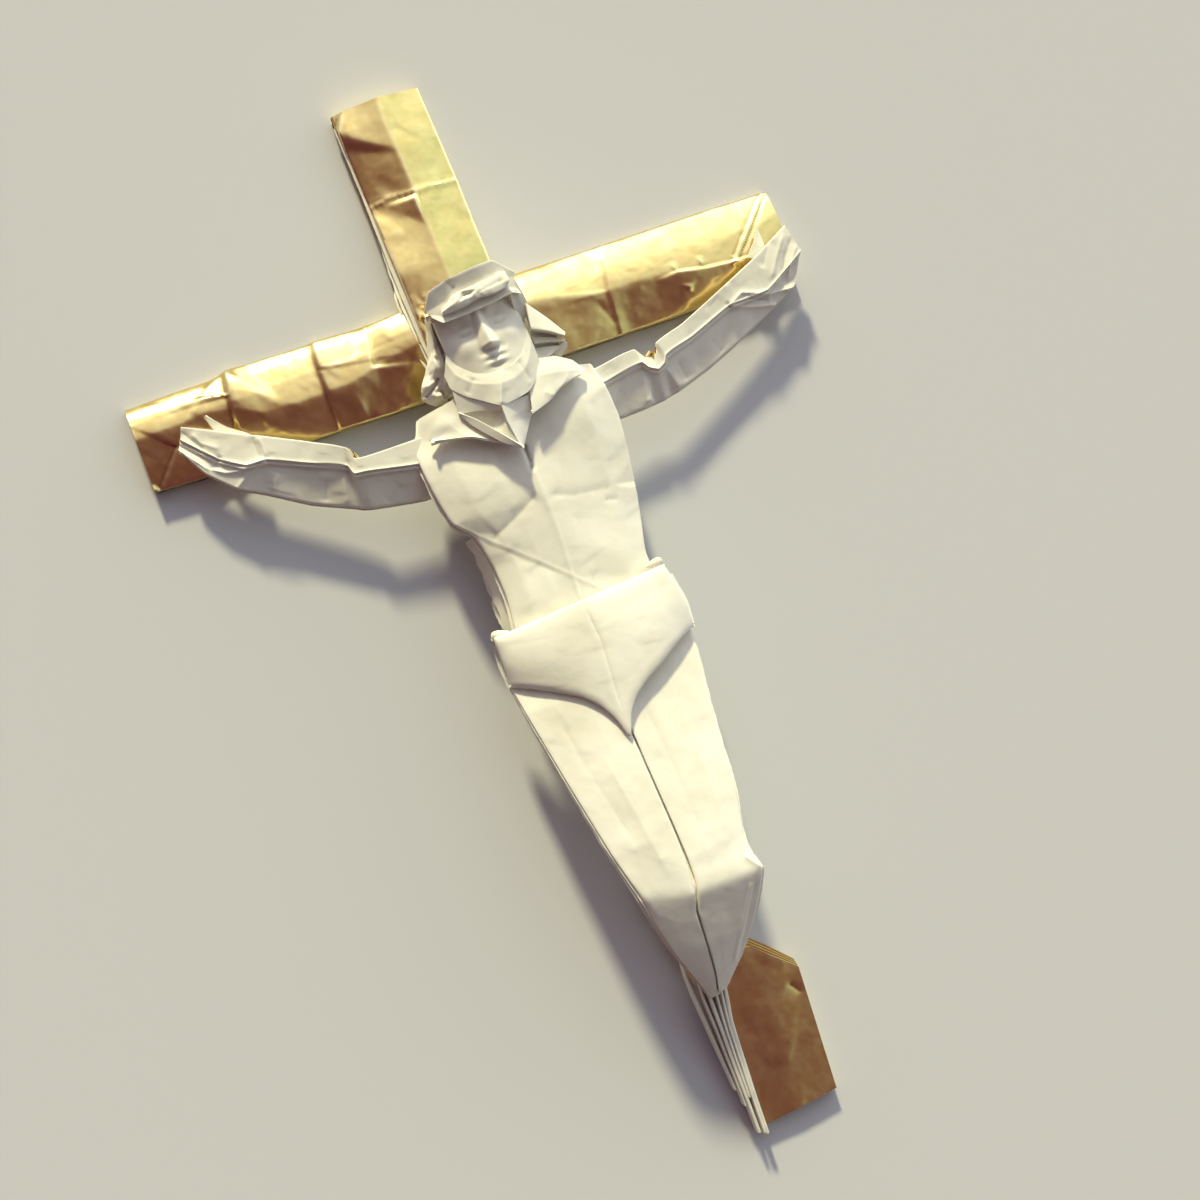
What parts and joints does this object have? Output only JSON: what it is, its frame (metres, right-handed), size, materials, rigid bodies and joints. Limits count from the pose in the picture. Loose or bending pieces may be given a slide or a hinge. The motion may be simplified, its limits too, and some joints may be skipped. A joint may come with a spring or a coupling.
{
  "type": "origami crucifix",
  "caption": "Paper crucifix folded from an uncut square: a gold-faced cross with a white figure before it, arms spread along the crossbar, feet drawn to a long point. A wall or shelf ornament.",
  "frame": {"origin": "centre of the crossing, on the flat back of the cross", "axes": "+Y along the upright to the head end, +X along the crossbar to the figure's left hand, +Z out of the front; it lies on its back on z = 0"},
  "size_m": [0.1063, 0.1694, 0.0177],
  "materials": {
    "white_paper": "matte",
    "gold_foil": "satin metallic"
  },
  "bodies": {
    "root": {"folded_sheet": "white_paper"}
  },
  "joints": []
}
